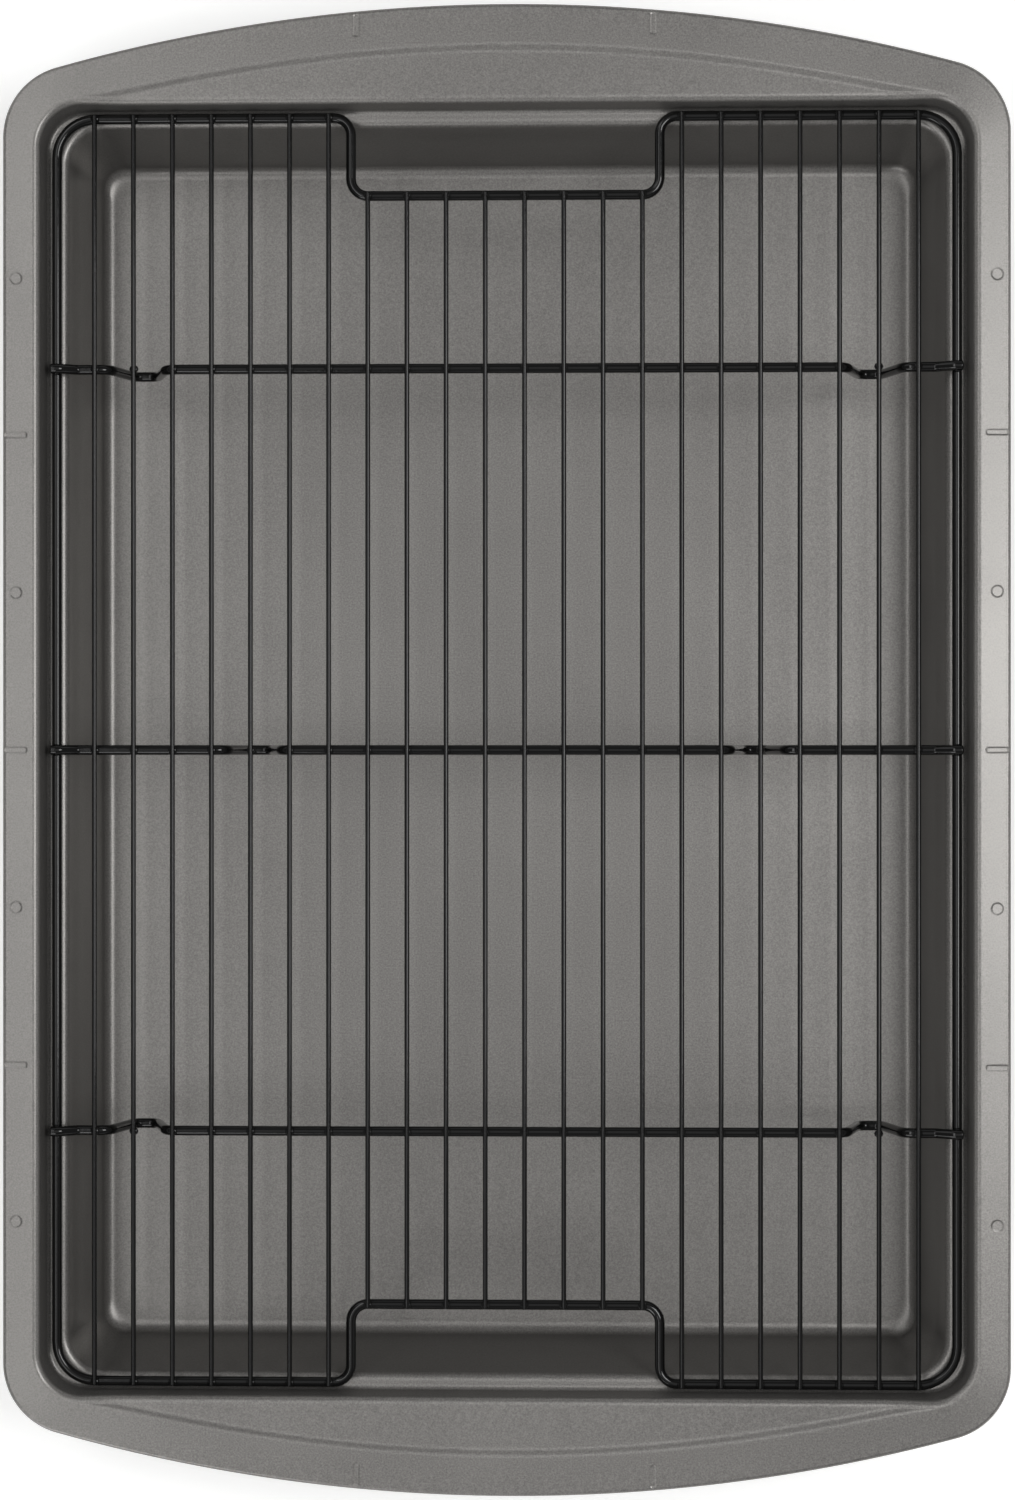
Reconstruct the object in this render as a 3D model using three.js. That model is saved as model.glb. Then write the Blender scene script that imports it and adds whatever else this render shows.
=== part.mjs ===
// Baking pan with a lift-out wire rack. The pan is one deep-drawn sheet with a handle flange
// at each end and a ledge all round its inside. The rack is a bent and welded wire frame
// that rests on the ledge: three footed cross wires under a row of thin grid wires.
// Millimetres. X runs across the pan, Y along it and Z up. The origin is the middle of the
// base's underside.

import * as THREE from 'three';

// Pan: sheet, mouth and flange
const sheet = 0.8;
const panHeight = 48;
const mouthWidth = 270.8;
const mouthLength = 375.7;
const sideFlange = 10.6;
const cornerFlange = 6.1; // end flange where its arc would meet the line of the sides
const endBow = 22.1; // how much wider the end flange is at its middle
const outerCornerRadius = 21;
const hemDrop = 3;
const hemBend = 0.8;

// Pan: the shallow hand-hold pressed into each end flange
const handleInset = 11.2; // from the flange's outer edge to the step
const handleStep = 2.6;
const handleRecess = 1;

// Pan: walls, ledge and floor
const wallDraft = THREE.MathUtils.degToRad(8);
const ledgeDepth = 9;
const sideLedge = 5.9;
const endLedge = 4.4;
const rimBend = 1.2;
const lipBend = 1.2;
const ledgeFillet = 1.5;
const floorFillet = 3.5;
const mouthCornerRadius = 12.5;
const ledgeCornerRadius = 11.5;
const lipCornerRadius = 11;
const floorCornerRadius = 6.5;

// Rack: frame wire with a finger notch in each end
const frameWire = 2.9;
const seatGap = 0.3;
const notchWidth = 90;
const notchDepth = 22.8;
const notchBend = 5;

// Rack: cross wires and their feet
const crossWire = 2.9;
const crossSpacing = 111.2;
const weldGap = 0.3;
const climbAngle = THREE.MathUtils.degToRad(31);
const crossBend = 3;
const outerFootInset = 23.7; // from the frame's side wire to the foot's middle
const middleFootInset = 57.7;
const footDrop = 18;
const footTopWidth = 17;
const footBottomWidth = 7;
const footTopBend = 4;
const footBottomBend = 3.2;

// Rack: grid wires
const gridWire = 1.45;
const gridCount = 22;
const gridOverhang = 0.9; // past the middle of the bar that carries the wire's end

// Facets
const cornerSteps = 5;
const endSteps = 20;
const sheetBendStep = THREE.MathUtils.degToRad(28);
const wireBendStep = THREE.MathUtils.degToRad(20);
const wireSides = 8;

const coatedSheet = new THREE.MeshStandardMaterial({ color: 0x75736f, roughness: 0.45, metalness: 0.6 });
const coatedWire = new THREE.MeshStandardMaterial({ color: 0x121212, roughness: 0.3, metalness: 0.2 });

// A line through sharp corners {x, y, r}, each rounded to its radius r, as points that keep
// the number of their corner. A rounding takes at most half of the shorter run beside it.
function bentLine(corners, bendStep, closed = false) {
  const count = corners.length;
  const line = [];
  corners.forEach((corner, k) => {
    if (!closed && (k === 0 || k === count - 1)) {
      line.push({ x: corner.x, y: corner.y, corner: k });
      return;
    }
    const tip = new THREE.Vector2(corner.x, corner.y);
    const back = new THREE.Vector2().copy(corners[(k + count - 1) % count]).sub(tip);
    const ahead = new THREE.Vector2().copy(corners[(k + 1) % count]).sub(tip);
    const room = Math.min(back.length(), ahead.length()) / 2;
    const turn = Math.PI - Math.acos(back.normalize().dot(ahead.normalize()));
    const radius = Math.min(corner.r, room / Math.tan(turn / 2));
    const inward = back.clone().add(ahead).normalize();
    const centre = inward.clone().multiplyScalar(radius / Math.cos(turn / 2)).add(tip);
    const middle = inward.negate().angle();
    const sweep = ahead.cross(back) > 0 ? turn : -turn;
    const steps = Math.ceil(turn / bendStep);
    for (let i = 0; i <= steps; i++) {
      const angle = middle + sweep * (i / steps - 0.5);
      line.push({
        x: centre.x + radius * Math.cos(angle),
        y: centre.y + radius * Math.sin(angle),
        corner: k,
      });
    }
  });
  return line;
}

// The same line moved sideways to its right by a distance, mitred at each point
function offsetLine(line, distance) {
  const rightOf = (from, to) => new THREE.Vector2(to.y - from.y, from.x - to.x).normalize();
  return line.map((point, i) => {
    const before = line[Math.max(i - 1, 0)];
    const after = line[Math.min(i + 1, line.length - 1)];
    const right = rightOf(before === point ? point : before, before === point ? after : point);
    const next = after === point ? right : rightOf(point, after);
    const mitre = right.clone().add(next).normalize();
    const reach = distance / mitre.dot(next);
    return { x: point.x + mitre.x * reach, y: point.y + mitre.y * reach, corner: point.corner };
  });
}

// A closed body from rings of matched points: strips between neighbouring rings, and either
// a flat cap on the first and last ring or a last strip back to the first
function loft(rings, closed = false) {
  const size = rings[0].length;
  const index = [];
  const last = closed ? rings.length : rings.length - 1;
  for (let j = 0; j < last; j++) {
    const here = j * size;
    const there = ((j + 1) % rings.length) * size;
    for (let i = 0; i < size; i++) {
      const next = (i + 1) % size;
      index.push(here + i, there + i, there + next);
      index.push(here + i, there + next, here + next);
    }
  }
  if (!closed) {
    const end = (rings.length - 1) * size;
    for (let i = 1; i < size - 1; i++) {
      index.push(0, i, i + 1);
      index.push(end, end + i + 1, end + i);
    }
  }
  const geometry = new THREE.BufferGeometry().setFromPoints(rings.flat());
  geometry.setIndex(index);
  geometry.computeVertexNormals();
  return geometry;
}

// A round wire along points that lie in one plane, whose normal is given
function bentWire(points, planeNormal, diameter, closed = false) {
  const rings = points.map((point, i) => {
    const before = closed ? points.at(i - 1) : points[Math.max(i - 1, 0)];
    const after = closed ? points[(i + 1) % points.length] : points[Math.min(i + 1, points.length - 1)];
    const back = point.clone().sub(before).normalize();
    const ahead = after.clone().sub(point).normalize();
    const side = planeNormal.clone().cross(back.add(ahead).normalize());
    return Array.from({ length: wireSides }, (_, k) => {
      const angle = 2 * Math.PI * (k + 0.5) / wireSides;
      return point.clone()
        .addScaledVector(planeNormal, diameter / 2 * Math.cos(angle))
        .addScaledVector(side, diameter / 2 * Math.sin(angle));
    });
  });
  return loft(rings, closed);
}

// A round-cornered outline, counter-clockwise from the +X side, with straight ends or ends
// bowed to an arc. Every outline has the same number of points in the same order.
function outline(halfX, halfY, corner, endRadius = Infinity) {
  const bowed = Number.isFinite(endRadius);
  const arcY = halfY - endRadius;
  const centreX = halfX - corner;
  const centreY = bowed ? arcY + Math.sqrt((endRadius - corner) ** 2 - centreX ** 2) : halfY - corner;
  const turn = bowed ? Math.atan2(centreY - arcY, centreX) : Math.PI / 2;
  const rightCorner = Array.from({ length: cornerSteps + 1 }, (_, i) => {
    const angle = turn * i / cornerSteps;
    return new THREE.Vector2(centreX + corner * Math.cos(angle), centreY + corner * Math.sin(angle));
  });
  const endX = rightCorner[cornerSteps].x;
  const end = Array.from({ length: endSteps - 1 }, (_, i) => {
    const x = endX * (1 - 2 * (i + 1) / endSteps);
    return new THREE.Vector2(x, bowed ? arcY + Math.sqrt(endRadius ** 2 - x ** 2) : halfY);
  });
  const leftCorner = rightCorner.map((point) => new THREE.Vector2(-point.x, point.y)).reverse();
  const half = [...rightCorner, ...end, ...leftCorner];
  return [...half, ...half.map((point) => point.clone().negate())];
}

// Pan: heights and places that its pieces and the rack share
const ledgeHeight = panHeight - ledgeDepth;
const wallFootInset = ledgeDepth * Math.tan(wallDraft);
const narrowLedge = Math.min(sideLedge, endLedge);
const ledgeMiddleX = mouthWidth / 2 - wallFootInset - sideLedge / 2;
const ledgeMiddleY = mouthLength / 2 - wallFootInset - endLedge / 2;
const ledgeMiddleCorner = (ledgeCornerRadius + lipCornerRadius) / 2;

// The wall's section from the flange down to the floor: x is the inset from the mouth. The
// points of the flange and the floor only give the section its direction there.
const lipInset = wallFootInset + narrowLedge;
const floorInset = lipInset + (ledgeHeight - sheet) * Math.tan(wallDraft);
const wallCorners = [
  { x: -sideFlange, y: panHeight },
  { x: 0, y: panHeight, r: rimBend + sheet, plan: mouthCornerRadius, isRim: true },
  { x: wallFootInset, y: ledgeHeight, r: ledgeFillet, plan: ledgeCornerRadius },
  { x: lipInset, y: ledgeHeight, r: lipBend + sheet, plan: lipCornerRadius, pastLedge: true },
  { x: floorInset, y: sheet, r: floorFillet, plan: floorCornerRadius, pastLedge: true },
  { x: floorInset * 2, y: sheet },
];
const wallTop = bentLine(wallCorners, sheetBendStep);
const wallUnder = offsetLine(wallTop, sheet);

// The hem's section from its lower edge to the flange: x is the inset from the outer edge
const hemRadius = hemBend + sheet;
const hemTop = bentLine([
  { x: 0, y: panHeight - hemDrop },
  { x: 0, y: panHeight, r: hemRadius },
  { x: sideFlange, y: panHeight },
], sheetBendStep).slice(0, -1);
const hemUnder = offsetLine(hemTop, sheet);

// The outer outline's end arc rises by the bow over half the pan's width
const outerHalfX = mouthWidth / 2 + sideFlange;
const outerHalfY = mouthLength / 2 + cornerFlange + endBow;
const endArcRadius = (outerHalfX ** 2 + endBow ** 2) / (2 * endBow);

function flangeOutline(inset) {
  return outline(
    outerHalfX - inset, outerHalfY - inset, outerCornerRadius - inset, endArcRadius - inset,
  );
}

function wallOutline(point) {
  const corner = wallCorners[point.corner];
  const pastLedge = corner.pastLedge ? 1 : 0;
  return outline(
    mouthWidth / 2 - point.x - pastLedge * (sideLedge - narrowLedge),
    mouthLength / 2 - point.x - pastLedge * (endLedge - narrowLedge),
    corner.plan + corner.x - point.x,
  );
}

// The hand-hold's depth at each point of an outline: it falls over the step's width, from a
// line inset from the end's outer edge, and runs out where the rim cuts that line
const flangeEdge = flangeOutline(hemRadius);
const rimPoints = wallTop.filter((point) => wallCorners[point.corner].isRim);
const rimEdge = wallOutline(rimPoints[0]);
const flangeRoom = flangeEdge.map((point, i) => point.distanceTo(rimEdge[i]));
const handleDepth = flangeRoom.map((room, i) => {
  const along = i % (flangeRoom.length / 2);
  const onEnd = along >= cornerSteps && along <= cornerSteps + endSteps;
  const share = THREE.MathUtils.clamp((room - handleInset + hemRadius) / handleStep, 0, 1);
  return onEnd ? handleRecess * share : 0;
});

// A ring across the flange, a given way in from the hem or as near the rim as the margin
function stepRing(inset, margin, z, recessed) {
  return flangeEdge.map((point, i) => {
    const share = Math.min((inset - hemRadius) / flangeRoom[i], 1 - margin / flangeRoom[i]);
    const place = point.clone().lerp(rimEdge[i], share);
    return new THREE.Vector3(place.x, place.y, z - (recessed ? handleDepth[i] : 0));
  });
}

// A ring round the wall; the rim's rows sink with the hand-hold and follow the wall's draft
function wallRing(point) {
  return wallOutline(point).map((place, i) => {
    const sink = wallCorners[point.corner].isRim ? handleDepth[i] : 0;
    const draw = Math.sign(place.y) * sink * Math.tan(wallDraft);
    return new THREE.Vector3(place.x, place.y - draw, point.y - sink);
  });
}

function hemRing(point) {
  return flangeOutline(point.x).map((place) => new THREE.Vector3(place.x, place.y, point.y));
}

function panGeometry() {
  const rimMargin = rimBend / 2;
  const wallRows = (line) => line.slice(1, -1).map(wallRing);
  const stepRows = (z) => [
    stepRing(handleInset, 2 * rimMargin, z, false),
    stepRing(handleInset + handleStep, rimMargin, z, true),
  ];
  return loft([
    ...wallRows(wallTop).reverse(),
    ...stepRows(panHeight).reverse(),
    ...hemTop.map(hemRing).reverse(),
    ...hemUnder.map(hemRing),
    ...stepRows(panHeight - sheet),
    ...wallRows(wallUnder),
  ]);
}

// Rack frame: one closed wire along the middle of the ledge, stepped in at each end
function frameGeometry() {
  const half = [
    { x: ledgeMiddleX, y: ledgeMiddleY, r: ledgeMiddleCorner },
    { x: notchWidth / 2, y: ledgeMiddleY, r: notchBend },
    { x: notchWidth / 2, y: ledgeMiddleY - notchDepth, r: notchBend },
    { x: -notchWidth / 2, y: ledgeMiddleY - notchDepth, r: notchBend },
    { x: -notchWidth / 2, y: ledgeMiddleY, r: notchBend },
    { x: -ledgeMiddleX, y: ledgeMiddleY, r: ledgeMiddleCorner },
  ];
  const otherHalf = half.map(({ x, y, r }) => ({ x: -x, y: -y, r }));
  const line = bentLine([...half, ...otherHalf], wireBendStep, true);
  const points = line.map(({ x, y }) => new THREE.Vector3(x, y, 0));
  return bentWire(points, new THREE.Vector3(0, 0, 1), frameWire, true);
}

// Cross wire: level with the frame, with two feet bent down from it, and ends that climb
// onto the frame's side wires and stop at their outer edge
function crossWireGeometry(footInset) {
  const rise = (frameWire + crossWire) / 2 + weldGap;
  const footX = ledgeMiddleX - footInset;
  const right = [
    { x: footX - footTopWidth / 2, y: 0, r: footTopBend },
    { x: footX - footBottomWidth / 2, y: -footDrop, r: footBottomBend },
    { x: footX + footBottomWidth / 2, y: -footDrop, r: footBottomBend },
    { x: footX + footTopWidth / 2, y: 0, r: footTopBend },
    { x: ledgeMiddleX - rise / Math.sin(climbAngle), y: 0, r: crossBend },
    { x: ledgeMiddleX - rise * Math.tan(climbAngle / 2), y: rise, r: rise },
    { x: ledgeMiddleX + frameWire / 2, y: rise },
  ];
  const left = right.map(({ x, y, r }) => ({ x: -x, y, r })).reverse();
  const line = bentLine([...left, ...right], wireBendStep);
  const points = line.map(({ x, y }) => new THREE.Vector3(x, 0, y));
  return bentWire(points, new THREE.Vector3(0, 1, 0), crossWire);
}

// How far along Y the frame's end bar lies from the middle at a place across the rack
function endBarY(x) {
  const bend = Math.min(notchBend, notchDepth / 2);
  const past = Math.abs(x) - notchWidth / 2;
  if (Math.abs(past) >= bend) return ledgeMiddleY - (past < 0 ? notchDepth : 0);
  const drop = bend - Math.sqrt(bend ** 2 - (bend - Math.abs(past)) ** 2);
  return ledgeMiddleY - (past < 0 ? notchDepth - drop : drop);
}

const rack = new THREE.Group();
rack.position.z = ledgeHeight + seatGap + frameWire / 2;

function addToRack(name, geometry) {
  const mesh = new THREE.Mesh(geometry, coatedWire);
  mesh.name = name;
  rack.add(mesh);
  return mesh;
}

addToRack('rack_frame', frameGeometry());
addToRack('cross_wire_front', crossWireGeometry(outerFootInset)).position.y = -crossSpacing;
addToRack('cross_wire_middle', crossWireGeometry(middleFootInset));
addToRack('cross_wire_back', crossWireGeometry(outerFootInset)).position.y = crossSpacing;

// The grid wires divide the frame's width evenly, and lie on its end bars and cross wires
const gridPitch = 2 * ledgeMiddleX / (gridCount + 1);
const gridHeight = Math.max(frameWire, crossWire) / 2 + weldGap + gridWire / 2;
for (let i = 1; i <= gridCount; i++) {
  const x = i * gridPitch - ledgeMiddleX;
  const length = 2 * (endBarY(x) + gridOverhang);
  const geometry = new THREE.CylinderGeometry(gridWire / 2, gridWire / 2, length, wireSides);
  const name = `grid_wire_${String(i).padStart(2, '0')}`;
  addToRack(name, geometry).position.set(x, 0, gridHeight);
}

const panBody = new THREE.Mesh(panGeometry(), coatedSheet);
panBody.name = 'pan_body';

const bakingPan = new THREE.Group();
bakingPan.add(panBody, rack);

export default bakingPan;
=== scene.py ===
import math

import bpy
import numpy as np
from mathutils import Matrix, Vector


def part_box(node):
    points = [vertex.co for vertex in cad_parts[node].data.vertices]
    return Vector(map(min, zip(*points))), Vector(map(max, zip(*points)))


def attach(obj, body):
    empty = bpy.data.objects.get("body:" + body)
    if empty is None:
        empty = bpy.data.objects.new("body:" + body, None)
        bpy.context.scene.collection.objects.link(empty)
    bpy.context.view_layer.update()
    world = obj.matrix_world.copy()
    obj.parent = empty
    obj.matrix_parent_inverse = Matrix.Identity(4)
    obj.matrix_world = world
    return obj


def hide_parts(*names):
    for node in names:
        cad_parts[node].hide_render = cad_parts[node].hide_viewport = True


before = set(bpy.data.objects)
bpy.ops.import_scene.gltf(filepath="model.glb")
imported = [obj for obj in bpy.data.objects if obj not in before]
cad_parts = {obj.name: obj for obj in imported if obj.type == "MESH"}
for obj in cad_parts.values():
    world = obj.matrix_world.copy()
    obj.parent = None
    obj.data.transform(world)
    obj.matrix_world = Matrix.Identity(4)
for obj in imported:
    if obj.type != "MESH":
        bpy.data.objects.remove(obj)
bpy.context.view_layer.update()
mm = 0.001
print("frame loaded:", len(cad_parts), "nodes")


# a node with its settings and its links: inputs are values, or sockets to link from
def addNode(tree, kind, inputs=None, **settings):
    node = tree.nodes.new(kind)
    for key, value in settings.items():
        setattr(node, key, value)
    for key, value in (inputs or {}).items():
        if isinstance(value, bpy.types.NodeSocket):
            tree.links.new(value, node.inputs[key])
        else:
            node.inputs[key].default_value = value
    return node


# sRGB hex to the linear colour that a shader takes
def linear(hexColour):
    parts = [int(hexColour[i:i + 2], 16) / 255 for i in (1, 3, 5)]
    return (*[c / 12.92 if c <= 0.04045 else ((c + 0.055) / 1.055) ** 2.4 for c in parts], 1)


# one material output fed by one principled shader, with the object's own coordinates
def newMaterial(name):
    material = bpy.data.materials.new(name)
    material.use_nodes = True
    tree = material.node_tree
    tree.nodes.clear()
    shader = addNode(tree, "ShaderNodeBsdfPrincipled")
    addNode(tree, "ShaderNodeOutputMaterial", {"Surface": shader.outputs["BSDF"]})
    place = addNode(tree, "ShaderNodeTexCoord").outputs["Object"]
    return material, tree, shader, place


# sprayed and baked nonstick coat with metal flake on drawn steel: a warm grey satin with
# a fine sparkle, a pebble that breaks up reflections, and steep walls that go darker, as the
# flakes lie flat and turn their edges to the eye; the flake is drawn coarse to show
panCoat = {"light": "#8e8c89", "dark": "#706e6c", "contrast": 0.2, "flakeMm": 0.5, "cloudMm": 60,
           "cloud": 0.25, "metallic": 0.7, "flop": 0.5, "roughLow": 0.32, "roughHigh": 0.44,
           "flakeSpan": (0.3, 0.7), "pebbleMm": 0.5, "pebbleHighMm": 0.1, "pebble": 0.12}


def greyNonstickCoat():
    v = panCoat
    material, tree, shader, place = newMaterial("greyNonstickCoat")
    flake = addNode(tree, "ShaderNodeTexNoise", {
        "Vector": place, "Scale": 1 / (v["flakeMm"] * mm), "Detail": 2, "Roughness": 0.7})
    cloud = addNode(tree, "ShaderNodeTexNoise", {
        "Vector": place, "Scale": 1 / (v["cloudMm"] * mm), "Detail": 3})
    mixed = addNode(tree, "ShaderNodeMath", {
        0: cloud.outputs["Fac"], 1: v["cloud"], 2: flake.outputs["Fac"]}, operation="MULTIPLY_ADD")
    middle = 0.5 + v["cloud"] / 2  # both noises average a half
    ramp = addNode(tree, "ShaderNodeMapRange", {
        "Value": mixed.outputs[0],
        "From Min": middle - v["contrast"], "From Max": middle + v["contrast"]})
    colour = addNode(tree, "ShaderNodeMix", {
        0: ramp.outputs[0], 6: linear(v["dark"]), 7: linear(v["light"])}, data_type="RGBA")
    tree.links.new(colour.outputs[2], shader.inputs["Base Color"])
    rough = addNode(tree, "ShaderNodeMapRange", {
        "Value": flake.outputs["Fac"], "From Min": v["flakeSpan"][0], "From Max": v["flakeSpan"][1],
        "To Min": v["roughLow"], "To Max": v["roughHigh"]})
    tree.links.new(rough.outputs[0], shader.inputs["Roughness"])
    pebble = addNode(tree, "ShaderNodeTexNoise", {
        "Vector": place, "Scale": 1 / (v["pebbleMm"] * mm), "Detail": 1})
    bump = addNode(tree, "ShaderNodeBump", {
        "Height": pebble.outputs["Fac"], "Strength": v["pebble"], "Distance": v["pebbleHighMm"] * mm})
    tree.links.new(bump.outputs[0], shader.inputs["Normal"])
    shader.inputs["Metallic"].default_value = v["metallic"]
    shader.inputs["Specular Tint"].default_value = (v["flop"], v["flop"], v["flop"], 1)
    return material


# dipped black nonstick coat on drawn wire: glossy, nearly black, with a slight orange peel; a
# fluoropolymer's low index keeps its reflections dim
wireCoat = {"black": "#090909", "rough": 0.12, "ior": 1.4, "peelMm": 1.6, "peelHighMm": 0.2,
            "peel": 0.06}


def blackWireCoat():
    v = wireCoat
    material, tree, shader, place = newMaterial("blackWireCoat")
    peel = addNode(tree, "ShaderNodeTexNoise", {
        "Vector": place, "Scale": 1 / (v["peelMm"] * mm), "Detail": 1})
    bump = addNode(tree, "ShaderNodeBump", {
        "Height": peel.outputs["Fac"], "Strength": v["peel"], "Distance": v["peelHighMm"] * mm})
    tree.links.new(bump.outputs[0], shader.inputs["Normal"])
    shader.inputs["Base Color"].default_value = linear(v["black"])
    shader.inputs["Roughness"].default_value = v["rough"]
    shader.inputs["IOR"].default_value = v["ior"]
    return material


coatGrey = greyNonstickCoat()
coatBlack = blackWireCoat()
print("materials made")


# strips between neighbouring rows of points (row, around, xyz), closed around; the first
# and last rows either join, or each close on a middle point
def skin(rows, joined=False):
    count, around = rows.shape[:2]
    index = np.arange(count * around).reshape(count, around)
    here = index if joined else index[:-1]
    there = np.roll(index, -1, 0) if joined else index[1:]
    quads = np.stack([here, there, np.roll(there, -1, 1), np.roll(here, -1, 1)], -1).reshape(-1, 4)
    points = rows.reshape(-1, 3)
    if joined:
        return points, quads, np.zeros((0, 3), int)
    ends = np.stack([rows[0].mean(0), rows[-1].mean(0)])
    first, last = index[0], index[-1]
    hub = np.full(around, count * around)
    tris = np.concatenate([
        np.stack([hub, first, np.roll(first, -1)], -1),
        np.stack([hub + 1, np.roll(last, -1), last], -1)])
    return np.concatenate([points, ends]), quads, tris


# one object from several skins, in millimetres, that rides on a body and may replace CAD nodes
def makePiece(name, skins, material, body, nodes=()):
    points, faces, start = [], [], 0
    for skinPoints, quads, tris in skins:
        points.append(skinPoints)
        faces += (quads + start).tolist() + (tris + start).tolist()
        start += len(skinPoints)
    mesh = bpy.data.meshes.new(name)
    mesh.from_pydata((np.concatenate(points) * mm).tolist(), [], faces)
    mesh.polygons.foreach_set("use_smooth", np.ones(len(faces), bool))
    mesh.materials.append(material)
    piece = bpy.data.objects.new(name, mesh)
    bpy.context.scene.collection.objects.link(piece)
    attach(piece, body)
    if nodes:
        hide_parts(*nodes)


# an extra point this far outside each end of an arc keeps the shading of straight runs flat
runIn = 0.2


# a line through sharp corners (x, y, radius), each rounded by an arc of so many steps; gives
# the points and the number of the corner that each belongs to
def bentLine(corners, steps, closed=False):
    tips = np.array([c[:2] for c in corners], float)
    points, owners = [], []
    for k, tip in enumerate(tips):
        if not closed and k in (0, len(tips) - 1):
            points.append(tip[None])
            owners.append([k])
            continue
        back = tips[k - 1] - tip
        ahead = tips[(k + 1) % len(tips)] - tip
        back, ahead = back / np.linalg.norm(back), ahead / np.linalg.norm(ahead)
        turn = math.pi - math.acos(np.clip(back @ ahead, -1, 1))
        inward = (back + ahead) / np.linalg.norm(back + ahead)
        centre = tip + inward * corners[k][2] / math.cos(turn / 2)
        side = np.sign(ahead[0] * back[1] - ahead[1] * back[0])
        angle = math.atan2(-inward[1], -inward[0]) + side * turn * np.linspace(-0.5, 0.5, steps + 1)
        arc = centre + corners[k][2] * np.stack([np.cos(angle), np.sin(angle)], -1)
        points += [arc[:1] + back * runIn, arc, arc[-1:] + ahead * runIn]
        owners.append([k] * (steps + 3))
    return np.concatenate(points), np.concatenate(owners)


# the line moved to its right by a distance, along the mean normal at each point
def offsetLine(line, distance):
    step = np.diff(line, axis=0)
    step /= np.linalg.norm(step, axis=1, keepdims=True)
    right = np.stack([step[:, 1], -step[:, 0]], -1)
    before, after = np.vstack([right[:1], right]), np.vstack([right, right[-1:]])
    mitre = before + after
    mitre /= np.linalg.norm(mitre, axis=1, keepdims=True)
    return line + mitre * distance / (mitre * after).sum(1, keepdims=True)


# round-cornered outlines, one row for each set of half sizes and corner radius: corner
# arcs joined by straight sides and by ends that are straight or an arc of a given radius
outlineSteps = {"corner": 20, "end": 110, "side": 24}


def outline(halfX, halfY, corner, endRadius=None):
    halfX, halfY, corner = (np.atleast_1d(a).astype(float)[:, None] for a in (halfX, halfY, corner))
    cx = halfX - corner
    if endRadius is None:
        cy = halfY - corner
        turn = np.full_like(cx, math.pi / 2)
    else:
        arc = np.atleast_1d(endRadius).astype(float)[:, None]
        arcY = halfY - arc
        cy = arcY + np.sqrt((arc - corner) ** 2 - cx ** 2)
        turn = np.arctan2(cy - arcY, cx)
    angle = turn * np.linspace(0, 1, outlineSteps["corner"] + 1)
    cornerX, cornerY = cx + corner * np.cos(angle), cy + corner * np.sin(angle)
    endX = cornerX[:, -1:] * np.linspace(1, -1, outlineSteps["end"] + 1)[1:-1]
    if endRadius is None:
        endY = np.repeat(halfY, endX.shape[1], 1)
    else:
        endY = arcY + np.sqrt(arc ** 2 - endX ** 2)
    sideY = cornerY[:, :1] * np.linspace(1, -1, outlineSteps["side"] + 1)[1:-1]
    sideX = np.repeat(-halfX, sideY.shape[1], 1)
    x = np.concatenate([cornerX, endX, -cornerX[:, ::-1], sideX], 1)
    y = np.concatenate([cornerY, endY, cornerY[:, ::-1], sideY], 1)
    half = np.stack([x, y], -1)
    return np.concatenate([half, -half], 1)


# rows of plan points with their heights
def withHeight(plan, z):
    return np.concatenate([plan, np.broadcast_to(z, plan.shape[:2])[..., None]], -1)


# Pan: one drawn sheet. Its section is carried round round-cornered outlines, from the
# middle of the floor up the walls, over the flange and hem and back along the underside.
high = np.array(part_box("pan_body")[1]) / mm  # half the width, half the length, the height
pan = {"sheet": 0.8, "mouth": (270.8, 375.7), "draft": math.radians(8), "ledgeDepth": 9,
       "sideLedge": 5.9, "endLedge": 4.4, "rim": 2.0, "lip": 2.4, "ledgeFillet": 1.5,
       "floorFillet": 3.5, "corners": (12.5, 11.5, 11, 6.5), "cornerSpread": 6, "outerCorner": 21,
       "cornerFlange": 6.1, "hem": 1.2, "hemDrop": 3, "handleInset": 11.2, "handleStep": 2.6,
       "handleRecess": 1, "markHeight": 0.2, "flangeFall": 0.5, "floorCrown": 0.25, "arcSteps": 10,
       "flangeRows": 56, "floorRows": 16, "guide": 8, "endMargin": 1}
flangeTop = high[2] - pan["markHeight"]
endBow = high[1] - pan["mouth"][1] / 2 - pan["cornerFlange"]
endRadius = (high[0] ** 2 + endBow ** 2) / (2 * endBow)


# eases from 0 to 1, level at both ends
def smooth(t):
    t = np.clip(t, 0, 1)
    return t * t * (3 - 2 * t)


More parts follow.
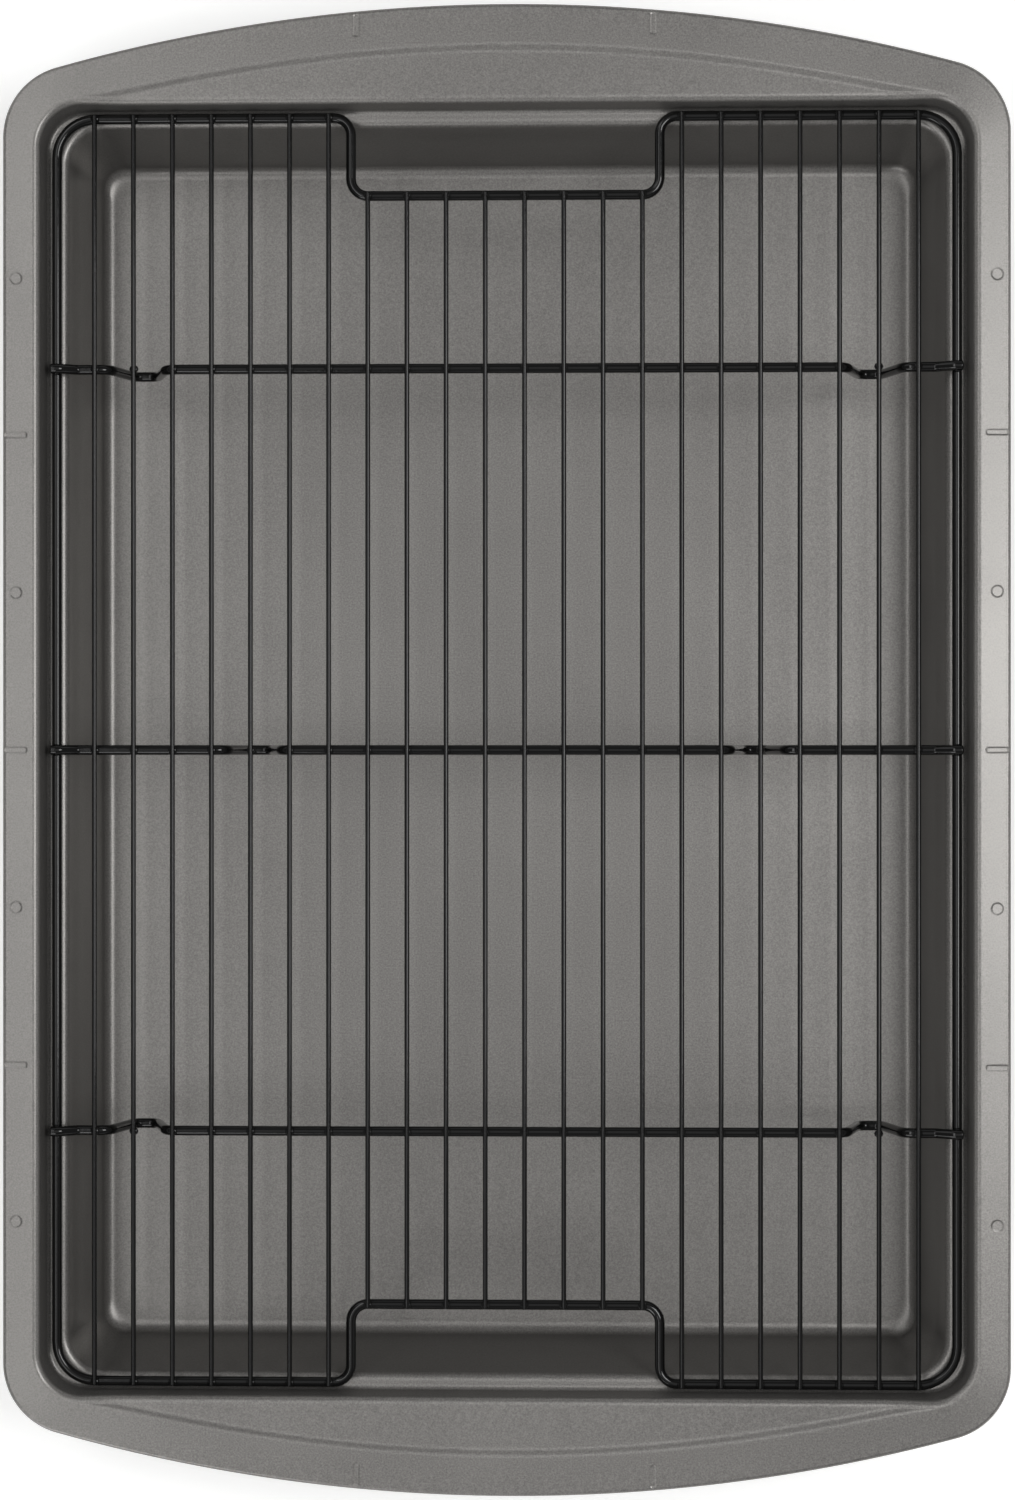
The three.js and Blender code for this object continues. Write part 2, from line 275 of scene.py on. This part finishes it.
def panRows():
    v = pan
    mouthX, mouthY = v["mouth"][0] / 2, v["mouth"][1] / 2
    outerX, outerY = high[0], high[1]
    slope = math.tan(v["draft"])
    ledgeZ = high[2] - v["ledgeDepth"]
    foot = (flangeTop - ledgeZ) * slope
    lip = foot + v["endLedge"]
    floor = lip + (ledgeZ - v["sheet"]) * slope
    # the section as insets and heights; its two ends only guide the way of the line
    corners = [(-v["guide"], flangeTop, 0), (0, flangeTop, v["rim"]), (foot, ledgeZ, v["ledgeFillet"]),
               (lip, ledgeZ, v["lip"]), (floor, v["sheet"], v["floorFillet"]),
               (floor + v["guide"], v["sheet"], 0)]
    rimCorner, lipCorner, floorCorner = 1, 3, 4
    line, owner = bentLine(corners, v["arcSteps"])
    under = offsetLine(line, v["sheet"])
    extraX = v["sideLedge"] - v["endLedge"]
    planRadius = np.array([0, *v["corners"], 0])
    planInset = np.array([c[0] for c in corners])

    # the wall's rows: the section's inset shrinks the outline, and its corners with it, but
    # the floor's fillet spreads in the corners
    def wall(section):
        inset, own = section[1:-1, 0], owner[1:-1]
        radius = planRadius[own] + planInset[own] - inset
        fillet = inset[own == floorCorner]
        spread = (fillet - fillet[0]) / (fillet[-1] - fillet[0])
        radius[own == floorCorner] += v["cornerSpread"] * spread
        plan = outline(mouthX - inset - extraX * (own >= lipCorner), mouthY - inset, radius)
        return withHeight(plan, section[1:-1, 1][:, None]), own

    # the hem's rows follow the outer outline, with its bowed ends
    def hemRows(section):
        inset = section[:, 0]
        plan = outline(outerX - inset, outerY - inset, v["outerCorner"] - inset, endRadius - inset)
        return withHeight(plan, section[:, 1][:, None])

    hemTop = flangeTop - v["flangeFall"]
    hemCorners = [(0, hemTop - v["hemDrop"], 0), (0, hemTop, v["hem"]), (v["guide"], hemTop, 0)]
    hemLine = bentLine(hemCorners, v["arcSteps"])[0][:-1]
    hem, hemUnder = hemRows(hemLine), hemRows(offsetLine(hemLine, v["sheet"]))
    wallTop, own = wall(line)
    wallUnder = wall(under)[0]

    # the hand-hold sinks smoothly across its step; only the bowed ends are wide enough
    edge, rim = hem[-1, :, :2], wallTop[0, :, :2]
    room = np.linalg.norm(edge - rim, axis=1)
    onEnd = np.abs(rim[:, 1]) > mouthY - v["endMargin"]

    def sink(distance):
        across = (distance - v["handleInset"] + v["hem"]) / v["handleStep"]
        return v["handleRecess"] * onEnd * smooth(across)

    share = np.linspace(0, 1, v["flangeRows"] + 2)[1:-1, None]
    plan = edge[None] + (rim - edge)[None] * share[..., None]
    depth = sink(share * room[None])
    flange = withHeight(plan, flangeTop - v["flangeFall"] * (1 - share) - depth)
    rimDepth = sink(room)[None] * (own == rimCorner)[:, None]
    for rows in (wallTop, wallUnder):
        rows[..., 2] -= rimDepth
        rows[..., 1] -= np.sign(rows[..., 1]) * rimDepth * slope
    flangeUnder = flange - [0, 0, v["sheet"]]

    # the floor is rings that shrink to its middle, with a slight crown
    shrink = np.linspace(0, 1, v["floorRows"] + 1)[1:-1, None, None]
    floorRing = wallTop[-1:]
    floorRows = floorRing * [1, 1, 0] * shrink + [0, 0, v["sheet"]]
    floorRows = floorRows + (1 - shrink ** 2) ** 2 * [0, 0, v["floorCrown"]]
    baseRing = wallUnder[-1:]
    baseRows = baseRing * [1, 1, 0] * shrink[::-1]
    return np.concatenate([floorRows, wallTop[::-1], flange[::-1], hem[::-1],
                           hemUnder, flangeUnder, wallUnder, baseRows])


# the flange's plain gauge marks, bars and rings, are shallow dishes: a flat floor, an edge
# that climbs evenly outwards, and a plain outer side that reaches a little into the sheet
marks = {"bar": (2.0, 6.8), "barCorner": 0.8, "endBarX": 43, "endBarIn": 4.3,
         "sideBarY": (-91.5, 0, 91.5), "sideBarIn": 4.0, "ring": 1.9, "ringSteps": 48,
         "ringY": (-137, -45.7, 45.7, 137), "ringIn": 4.0, "edge": 0.52, "floor": 0.05,
         "blend": 0.1, "sunk": 0.5}


# how far the flange has fallen at points on it, from its rim to its outer edge
def flangeFall(x, y, onEnd):
    rim = pan["rim"] * math.tan((math.pi / 2 - pan["draft"]) / 2)
    if onEnd:
        out, start = np.abs(y), pan["mouth"][1] / 2 + rim
        edge = high[1] - pan["hem"] - np.square(x) / (2 * endRadius)
    else:
        out, start = np.abs(x), pan["mouth"][0] / 2 + rim
        edge = high[0] - pan["hem"]
    return pan["flangeFall"] * np.clip((out - start) / (edge - start), 0, 1)


# a mark's section from the inside out: insets from its outline and heights above the flange;
# short blends at both ends of the edge keep its shading even
def markSection():
    v = marks
    share = np.array([1 + v["blend"], 1, 1 - v["blend"], v["blend"], 0, 0, 0])
    rise = pan["markHeight"] - (pan["markHeight"] - v["floor"]) * np.minimum(share, 1)
    rise[-2:] = pan["markHeight"] - v["edge"] * v["blend"], -v["sunk"]
    return v["edge"] * share, rise


# a mark's outlines laid on the flange, each at its own height
def markSkin(plan, rise, onEnd):
    z = flangeTop + rise[:, None] - flangeFall(plan[..., 0], plan[..., 1], onEnd)
    return skin(withHeight(plan, z))


def barSkin(x, y, sizeX, sizeY, onEnd):
    inset, rise = markSection()
    plan = outline(sizeX / 2 - inset, sizeY / 2 - inset, marks["barCorner"] - inset)
    return markSkin(plan + [x, y], rise, onEnd)


def ringSkin(x, y):
    inset, rise = markSection()
    angle = np.linspace(0, 2 * math.pi, marks["ringSteps"], endpoint=False)
    radius = (marks["ring"] - inset)[:, None]
    plan = np.stack([x + radius * np.cos(angle), y + radius * np.sin(angle)], -1)
    return markSkin(plan, rise, False)


def markSkins():
    v = marks
    width, length = v["bar"]
    skins = []
    for sign in (-1, 1):
        endY = sign * (high[1] - v["endBarX"] ** 2 / (2 * endRadius) - v["endBarIn"])
        skins += [barSkin(x, endY, width, length, True) for x in (-v["endBarX"], v["endBarX"])]
        sideX = sign * (high[0] - v["sideBarIn"])
        skins += [barSkin(sideX, y, length, width, False) for y in v["sideBarY"]]
        ringX = sign * (high[0] - v["ringIn"])
        skins += [ringSkin(ringX, y) for y in v["ringY"]]
    return skins


makePiece("pan", [skin(panRows())], coatGrey, "pan", ["pan_body"])
makePiece("flangeMarks", markSkins(), coatGrey, "pan")
print("pan made")


# Rack wires: a circle carried along a bent line that lies in one plane
wire = {"sides": 20, "bendSteps": 10, "tipRows": 4, "tipStart": 0.15, "tipBulge": 0.35}


def wireSkin(path, normal, diameter, closed=False):
    step = np.roll(path, -1, 0) - path
    step /= np.linalg.norm(step, axis=1, keepdims=True)
    if closed:
        along = step + np.roll(step, 1, 0)
    else:
        step[-1] = step[-2]
        along = step + np.vstack([step[:1], step[:-1]])
    along /= np.linalg.norm(along, axis=1, keepdims=True)
    side = np.cross(normal, along)
    angle = np.linspace(0, 2 * math.pi, wire["sides"], endpoint=False)[None, :, None]
    circle = np.cos(angle) * np.array(normal, float) + np.sin(angle) * side[:, None]
    rows = path[:, None] + circle * diameter / 2
    if closed:
        return skin(rows, joined=True)
    # the coat rounds each cut end: rings that narrow over a part of the radius
    t = np.linspace(wire["tipStart"], 1, wire["tipRows"])[:, None, None] * math.pi / 2
    reach = wire["tipBulge"] * diameter / 2
    head = path[0] + circle[:1] * diameter / 2 * np.sin(t) - along[0] * reach * np.cos(t)
    tail = path[-1] + circle[-1:] * diameter / 2 * np.sin(t) + along[-1] * reach * np.cos(t)
    lead = [rows[:1] + along[0] * runIn, rows[1:-1], rows[-1:] - along[-1] * runIn]
    return skin(np.concatenate([head, *lead, tail[::-1]]))


rack = {"frameWire": 2.9, "crossWire": 2.9, "gridWire": 1.45, "gap": 0.3, "notch": (90, 22.8),
        "notchBend": 5, "crossY": {"front": -111.2, "middle": 0, "back": 111.2},
        "climb": math.radians(31), "bend": 3, "crossEndIn": 0.4,
        "footInset": {"front": 23.7, "middle": 57.7, "back": 23.7}, "footDrop": 18,
        "footWidths": (17, 7), "footBends": (4, 3.2)}
frameLow, frameHigh = (np.array(corner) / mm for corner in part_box("rack_frame"))
rackZ = (frameLow[2] + frameHigh[2]) / 2
# the middle line of the ledge: half sizes and corner radius
ledgeIn = pan["ledgeDepth"] * math.tan(pan["draft"])
barX = pan["mouth"][0] / 2 - ledgeIn - pan["sideLedge"] / 2
barY = pan["mouth"][1] / 2 - ledgeIn - pan["endLedge"] / 2
barCorner = (pan["corners"][1] + pan["corners"][2]) / 2


# the frame follows the middle of the ledge and steps in at each end as a finger notch
def frameSkin():
    v = rack
    notch = v["notch"][0] / 2
    inY = barY - v["notch"][1]
    half = [(barX, barY, barCorner), (notch, barY, v["notchBend"]), (notch, inY, v["notchBend"]),
            (-notch, inY, v["notchBend"]), (-notch, barY, v["notchBend"]), (-barX, barY, barCorner)]
    line = bentLine(half + [(-x, -y, r) for x, y, r in half], wire["bendSteps"], closed=True)[0]
    path = np.column_stack([line, np.full(len(line), rackZ)])
    return wireSkin(path, (0, 0, 1), v["frameWire"], closed=True)


# a cross wire dips into two feet, and its ends climb onto the frame's side wires
def crossSkin(which):
    v = rack
    rise = (v["frameWire"] + v["crossWire"]) / 2 + v["gap"]
    foot = barX - v["footInset"][which]
    top, bottom = (w / 2 for w in v["footWidths"])
    end = barX + v["frameWire"] / 2 - v["crossEndIn"]
    right = [(foot - top, 0, v["footBends"][0]), (foot - bottom, -v["footDrop"], v["footBends"][1]),
             (foot + bottom, -v["footDrop"], v["footBends"][1]), (foot + top, 0, v["footBends"][0]),
             (barX - rise / math.sin(v["climb"]), 0, v["bend"]),
             (barX - rise * math.tan(v["climb"] / 2), rise, rise), (end, rise, 0)]
    left = [(-x, y, r) for x, y, r in right][::-1]
    line = bentLine(left + right, wire["bendSteps"])[0]
    path = np.column_stack([line[:, 0], np.full(len(line), v["crossY"][which]), rackZ + line[:, 1]])
    return wireSkin(path, (0, 1, 0), v["crossWire"])


makePiece("rackFrame", [frameSkin()], coatBlack, "rack", ["rack_frame"])
for which in rack["crossY"]:
    makePiece(f"crossWire.{which}", [crossSkin(which)], coatBlack, "rack",
              [f"cross_wire_{which}"])

gridNodes = sorted(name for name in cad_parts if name.startswith("grid_wire"))
gridLines = []
for name in gridNodes:
    wireLow, wireHigh = (np.array(corner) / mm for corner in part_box(name))
    middle = (wireLow + wireHigh) / 2
    reach = (wireHigh[1] - wireLow[1]) / 2 - wire["tipBulge"] * rack["gridWire"] / 2
    gridLines.append((middle[0], wireHigh[1]))
    path = np.array([[middle[0], y, middle[2]] for y in (-reach, 0, reach)])
    makePiece("gridWire." + name[-2:], [wireSkin(path, (0, 0, 1), rack["gridWire"])],
              coatBlack, "rack", [name])
print("rack wires made")

# Welds: where wires cross, the weld and the coat pool in a low rounded bead, an ellipsoid
# between the two wires
bead = {"size": (1.35, 1.2, 0.6), "endSize": (1.6, 1.8, 0.8), "around": 10, "rows": 6, "endIn": 0.9}


def beadSkin(x, y, z, size):
    v = bead
    around = np.linspace(0, 2 * math.pi, v["around"], endpoint=False)
    polar = np.linspace(0, math.pi, v["rows"] + 1)[1:-1, None]
    points = np.stack([np.sin(polar) * np.cos(around), np.sin(polar) * np.sin(around),
                       np.cos(polar) + 0 * around], -1)
    return skin(points * size + [x, y, z])


beadZ = rackZ + rack["frameWire"] / 2 + rack["gap"] / 2
beads = []
for x, end in gridLines:
    for y in (-end + bead["endIn"], *rack["crossY"].values(), end - bead["endIn"]):
        beads.append(beadSkin(x, y, beadZ, bead["size"]))
for y in rack["crossY"].values():
    for sign in (-1, 1):
        beads.append(beadSkin(sign * barX, y, beadZ, bead["endSize"]))
makePiece("weldBeads", beads, coatBlack, "rack")
print("welds made:", len(beads))

# Camera: nearly straight down, a little to the right of the pan's middle, framed on the
# flange; the picture is 1015 by 1500 and 3.46 of its pixels make a millimetre there
shot = {"height": 1500, "pixelsPerMm": 3.46, "distanceMm": 900, "leanDeg": 1.7, "aimXMm": 0.9,
        "sensor": 36, "clip": (0.01, 60)}
camera = bpy.data.cameras.new("camera")
cameraObject = bpy.data.objects.new("camera", camera)
bpy.context.scene.collection.objects.link(cameraObject)
camera.sensor_width = shot["sensor"]
camera.lens = camera.sensor_width * shot["distanceMm"] * shot["pixelsPerMm"] / shot["height"]
camera.clip_start, camera.clip_end = shot["clip"]
lean = math.radians(shot["leanDeg"])
cameraObject.location = (shot["aimXMm"] * mm + shot["distanceMm"] * mm * math.sin(lean), 0,
                         high[2] * mm + shot["distanceMm"] * mm * math.cos(lean))
cameraObject.rotation_euler = (0, lean, 0)
bpy.context.scene.camera = cameraObject

# Floor and light: a white sweep, a small softbox on the right, a narrow strip on the left, a
# large softbox overhead, a low one at each end on the left, and a dim sky that is white at the
# horizon; each softbox is its power and its size across and along
light = {"right": (7, 0.42, 0.6), "rightPlace": (0.62, 0.07, 1.18),
         "left": (4.2, 0.25, 1.6), "leftPlace": (-0.5, 0.1, 1.25),
         "top": (3.15, 1.3, 1.7), "topPlace": (0, 0, 1.9),
         "front": (10, 0.9, 0.8), "frontPlace": (-0.6, -1.4, 0.8),
         "back": (2, 0.9, 0.8), "backPlace": (-0.9, 1.1, 0.9),
         "floor": "#f7f7f6", "floorRough": 0.9, "floorReach": 15, "floorDrop": 0.0002,
         "glow": 0.3, "fadeFrom": 0.5, "fadeTo": 1.8, "zenith": 0.2, "horizon": (0.05, 0.4)}


# an area lamp turned about Y towards the pan, and left out of the picture itself
def softbox(name, power, sizeX, sizeY, place):
    lamp = bpy.data.lights.new(name, "AREA")
    lamp.shape = "RECTANGLE"
    lamp.energy, lamp.size, lamp.size_y = power, sizeX, sizeY
    lampObject = bpy.data.objects.new(name, lamp)
    bpy.context.scene.collection.objects.link(lampObject)
    lampObject.location = place
    lampObject.rotation_euler = (0, math.atan2(place[0], place[2]), 0)
    lampObject.visible_camera = False


for side in ("right", "left", "top", "front", "back"):
    softbox(side + "Softbox", *light[side], light[side + "Place"])

floorMaterial, floorTree, floorShader, floorPlace = newMaterial("whitePaperSweep")
floorShader.inputs["Base Color"].default_value = linear(light["floor"])
floorShader.inputs["Roughness"].default_value = light["floorRough"]
# the paper's own glow lifts it to white where it is seen or mirrored; it leaves the shadow
# near the pan and grows away from it, so that the far floor meets the white horizon
rayKind = addNode(floorTree, "ShaderNodeLightPath").outputs
seen = addNode(floorTree, "ShaderNodeMath", {
    0: rayKind["Is Camera Ray"], 1: rayKind["Is Glossy Ray"]}, operation="MAXIMUM")
away = addNode(floorTree, "ShaderNodeVectorMath", {0: floorPlace}, operation="LENGTH")
byDistance = addNode(floorTree, "ShaderNodeMapRange", {
    "Value": away.outputs["Value"], "From Min": light["fadeFrom"], "From Max": light["fadeTo"],
    "To Min": light["glow"], "To Max": 1.0}, interpolation_type="SMOOTHSTEP")
glow = addNode(floorTree, "ShaderNodeMath", {
    0: seen.outputs[0], 1: byDistance.outputs[0]}, operation="MULTIPLY")
floorShader.inputs["Emission Color"].default_value = (1, 1, 1, 1)
floorTree.links.new(glow.outputs[0], floorShader.inputs["Emission Strength"])
floorMesh = bpy.data.meshes.new("floor")
far = light["floorReach"]
floorCorners = [(-far, -far, 0), (far, -far, 0), (far, far, 0), (-far, far, 0)]
floorMesh.from_pydata(floorCorners, [], [(0, 1, 2, 3)])
floorMesh.materials.append(floorMaterial)
floor = bpy.data.objects.new("floor", floorMesh)
bpy.context.scene.collection.objects.link(floor)
floor.location.z = -light["floorDrop"]

world = bpy.data.worlds.new("studio")
bpy.context.scene.world = world
world.use_nodes = True
worldTree = world.node_tree
worldTree.nodes.clear()
direction = addNode(worldTree, "ShaderNodeTexCoord").outputs["Generated"]
height = addNode(worldTree, "ShaderNodeSeparateXYZ", {0: direction}).outputs["Z"]
fade = addNode(worldTree, "ShaderNodeMapRange", {
    "Value": height, "From Min": light["horizon"][0], "From Max": light["horizon"][1],
    "To Min": 1.0, "To Max": light["zenith"]})
sky = addNode(worldTree, "ShaderNodeBackground", {"Color": (1, 1, 1, 1), "Strength": fade.outputs[0]})
addNode(worldTree, "ShaderNodeOutputWorld", {"Surface": sky.outputs[0]})
bpy.context.scene.view_settings.view_transform = "Standard"
print("camera, floor and light set")
